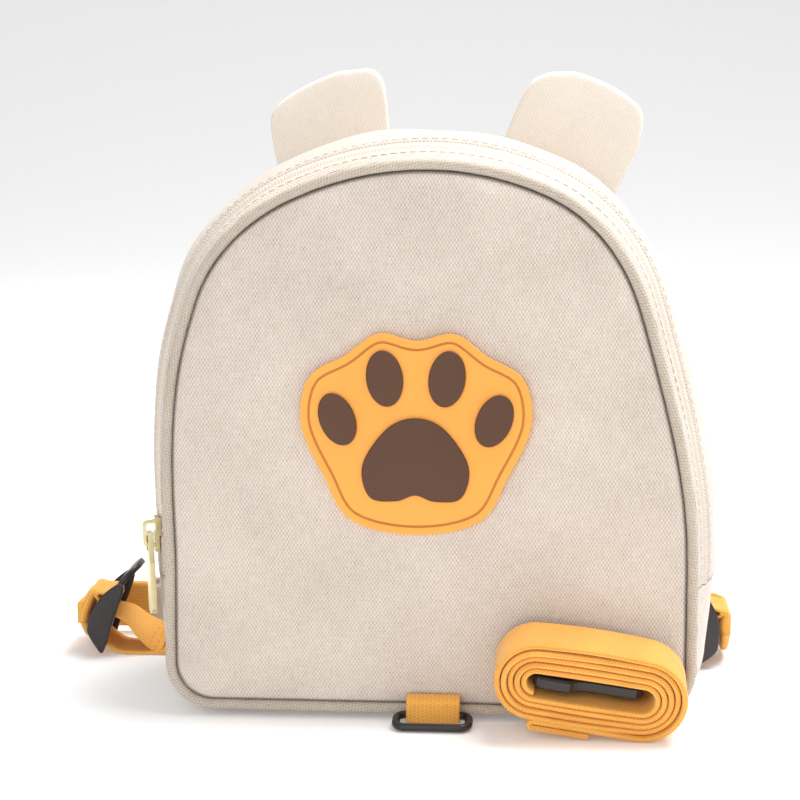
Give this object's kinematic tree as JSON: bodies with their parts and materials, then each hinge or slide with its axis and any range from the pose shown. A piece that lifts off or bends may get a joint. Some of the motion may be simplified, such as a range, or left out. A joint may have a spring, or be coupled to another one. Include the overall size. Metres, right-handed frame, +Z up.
{
  "type": "child's backpack",
  "caption": "Small padded canvas backpack with an arched front, two ears, a paw badge, zip, bottom ring, shoulder straps and a rolled-up webbing leash.",
  "frame": {"origin": "middle of the bag's base, on the surface that it stands on", "axes": "+Z up, -Y towards the front (the badge), +X to the right as seen from the front"},
  "size_m": [0.2678, 0.1462, 0.2399],
  "materials": {
    "canvas": "matt woven canvas",
    "webbing": "woven webbing",
    "plastic": "satin moulded",
    "badge_orange": "soft moulded",
    "badge_brown": "soft moulded",
    "metal": "pale, satin"
  },
  "bodies": {
    "bag": {"front_panel": "canvas", "piping": "canvas", "zip_gusset_front": "canvas", "zip_chain": "canvas", "zip_gusset_rear": "canvas", "base_gusset": "canvas", "back_panel": "canvas", "ear_left": "canvas", "ear_right": "canvas", "shoulder_strap_left": "canvas", "shoulder_strap_right": "canvas", "ring_loop": "webbing", "leash_webbing": "webbing", "strap_webbing_left": "webbing", "strap_webbing_right": "webbing", "lock_stub_left": "webbing", "lock_stub_right": "webbing", "leash_hook": "plastic", "ladder_lock_left": "plastic", "ladder_lock_right": "plastic", "badge_backing": "badge_orange", "badge_pad": "badge_brown", "badge_toe_1": "badge_brown", "badge_toe_2": "badge_brown", "badge_toe_3": "badge_brown", "badge_toe_4": "badge_brown", "zip_slider": "metal"},
    "pull": {"zip_pull": "metal"},
    "ring": {"ring": "plastic"}
  },
  "joints": [
    {"name": "zip_pull_swing", "type": "hinge", "parent": "bag", "child": "pull", "pos_m": [-0.10745, -0.02403, 0.06593], "axis": [-0.3413, 0.9373, -0.0702], "range_deg": [0, 150]},
    {"name": "ring_swing", "type": "hinge", "parent": "bag", "child": "ring", "pos_m": [0.002, -0.0453, 0.0033], "axis": [-1, 0, 0], "range_deg": [0, 80]}
  ]
}
